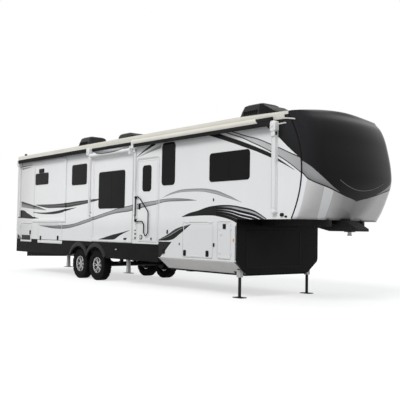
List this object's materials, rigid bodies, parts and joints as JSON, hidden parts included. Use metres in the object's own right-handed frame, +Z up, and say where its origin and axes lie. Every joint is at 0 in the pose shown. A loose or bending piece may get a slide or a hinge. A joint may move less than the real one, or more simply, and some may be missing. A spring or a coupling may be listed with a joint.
{
  "type": "fifth wheel trailer",
  "caption": "Long travel trailer with a raised nose over a kingpin, tandem axles, slide-out rooms, roller awnings, storage hatches and levelling legs.",
  "frame": {"origin": "on the ground under the middle of the outline's length and width, with the trailer parked on its wheels and front legs", "axes": "+X to the nose and its kingpin, +Y to the off side (away from the entry door), +Z up"},
  "size_m": [12.65, 2.73, 4.08],
  "materials": {
    "gelcoat_white": "gloss white gel-coat laminate",
    "gelcoat_black": "gloss black gel-coat",
    "gelcoat_silver": "silver gel-coat",
    "skirt_black": "satin black",
    "roof_membrane": "pale matt membrane",
    "floor_board": "plain board",
    "frame_black": "satin black paint on steel",
    "steel_grey": "grey zinc finish on steel",
    "alloy": "bright machined alloy",
    "tyre_rubber": "black rubber",
    "tinted_glass": "dark tinted glass",
    "shroud_plastic": "black moulded shroud",
    "awning_metal": "off-white enamel",
    "rail_black": "black enamel",
    "lamp_red": "clear red lens"
  },
  "bodies": {
    "coach": {"air_conditioner_front": "shroud_plastic", "air_conditioner_rear": "shroud_plastic", "awning_front": "awning_metal", "awning_rear": "awning_metal", "axle_front": "frame_black", "axle_rear": "frame_black", "basement_front_wall": "gelcoat_black", "basement_pan": "gelcoat_silver", "bedroom_window": "tinted_glass", "chassis_frame": "frame_black", "front_legs": "steel_grey", "kingpin": "steel_grey", "lower_floor": "floor_board", "mid_legs": "steel_grey", "mid_window": "tinted_glass", "nose_cap": "gelcoat_black", "off_rear_window": "tinted_glass", "pin_box": "frame_black", "rear_bumper": "frame_black", "rear_ladder": "alloy", "rear_legs": "steel_grey", "rear_wall": "gelcoat_white", "rear_window": "tinted_glass", "roof": "roof_membrane", "roof_vent": "shroud_plastic", "side_wall_camp": "gelcoat_white", "side_wall_off": "gelcoat_white", "skirt_camp": "skirt_black", "skirt_off": "skirt_black", "springs_camp": "frame_black", "springs_off": "frame_black", "tail_lamp_camp": "lamp_red", "tail_lamp_off": "lamp_red", "tall_window": "tinted_glass", "upper_deck": "floor_board"},
    "wheel_rear_camp": {"tyre_rear_camp": "tyre_rubber", "rim_rear_camp": "alloy"},
    "wheel_rear_off": {"tyre_rear_off": "tyre_rubber", "rim_rear_off": "alloy"},
    "wheel_front_camp": {"tyre_front_camp": "tyre_rubber", "rim_front_camp": "alloy"},
    "wheel_front_off": {"tyre_front_off": "tyre_rubber", "rim_front_off": "alloy"},
    "entry_door_body": {"entry_door": "gelcoat_white", "entry_door_window": "tinted_glass"},
    "utility_hatch_body": {"utility_hatch": "gelcoat_white"},
    "corner_hatch_body": {"corner_hatch": "gelcoat_white"},
    "front_hatch_camp_body": {"front_hatch_camp": "gelcoat_white"},
    "front_hatch_off_body": {"front_hatch_off": "gelcoat_white"},
    "rear_hatch_body": {"rear_hatch": "gelcoat_white"},
    "handrail_body": {"handrail": "rail_black"},
    "slide_main_body": {"slide_main": "gelcoat_white", "slide_main_window": "tinted_glass"},
    "slide_rear_body": {"slide_rear": "gelcoat_white", "slide_rear_window": "tinted_glass"},
    "slide_off_body": {"slide_off": "gelcoat_white", "slide_off_window": "tinted_glass"},
    "slide_bed_body": {"slide_bed": "gelcoat_white", "slide_bed_window": "tinted_glass"}
  },
  "joints": [
    {"name": "wheel_rear_camp_spin", "type": "hinge", "parent": "coach", "child": "wheel_rear_camp", "pos_m": [-2.162, -1.064, 0.395], "axis": [0, 1, 0], "continuous": true},
    {"name": "wheel_rear_off_spin", "type": "hinge", "parent": "coach", "child": "wheel_rear_off", "pos_m": [-2.162, 1.064, 0.395], "axis": [0, 1, 0], "continuous": true},
    {"name": "wheel_front_camp_spin", "type": "hinge", "parent": "coach", "child": "wheel_front_camp", "pos_m": [-1.263, -1.064, 0.395], "axis": [0, 1, 0], "continuous": true},
    {"name": "wheel_front_off_spin", "type": "hinge", "parent": "coach", "child": "wheel_front_off", "pos_m": [-1.263, 1.064, 0.395], "axis": [0, 1, 0], "continuous": true},
    {"name": "entry_door_hinge", "type": "hinge", "parent": "coach", "child": "entry_door_body", "pos_m": [1.495, -1.229, 2.025], "axis": [0, 0, 1], "range_deg": [0, 120]},
    {"name": "utility_hatch_hinge", "type": "hinge", "parent": "coach", "child": "utility_hatch_body", "pos_m": [4, -1.229, 1.1415], "axis": [0, 0, 1], "range_deg": [0, 110]},
    {"name": "corner_hatch_hinge", "type": "hinge", "parent": "coach", "child": "corner_hatch_body", "pos_m": [-5.885, -1.229, 1.235], "axis": [0, 0, -1], "range_deg": [0, 110]},
    {"name": "front_hatch_camp_hinge", "type": "hinge", "parent": "coach", "child": "front_hatch_camp_body", "pos_m": [2.9425, -1.229, 1.51], "axis": [-1, 0, 0], "range_deg": [0, 150]},
    {"name": "front_hatch_off_hinge", "type": "hinge", "parent": "coach", "child": "front_hatch_off_body", "pos_m": [2.9425, 1.229, 1.51], "axis": [1, 0, 0], "range_deg": [0, 90]},
    {"name": "rear_hatch_hinge", "type": "hinge", "parent": "coach", "child": "rear_hatch_body", "pos_m": [-3.905, -1.229, 1.46], "axis": [-1, 0, 0], "range_deg": [0, 85]},
    {"name": "handrail_hinge", "type": "hinge", "parent": "coach", "child": "handrail_body", "pos_m": [0.61, -1.26, 1.825], "axis": [0, 0, -1], "range_deg": [0, 95]},
    {"name": "slide_main_travel", "type": "slide", "parent": "coach", "child": "slide_main_body", "axis": [0, -1, 0], "range_m": [0, 0.8]},
    {"name": "slide_rear_travel", "type": "slide", "parent": "coach", "child": "slide_rear_body", "axis": [0, -1, 0], "range_m": [0, 0.8]},
    {"name": "slide_off_travel", "type": "slide", "parent": "coach", "child": "slide_off_body", "axis": [0, 1, 0], "range_m": [0, 0.8]},
    {"name": "slide_bed_travel", "type": "slide", "parent": "coach", "child": "slide_bed_body", "axis": [0, 1, 0], "range_m": [0, 0.5]}
  ]
}
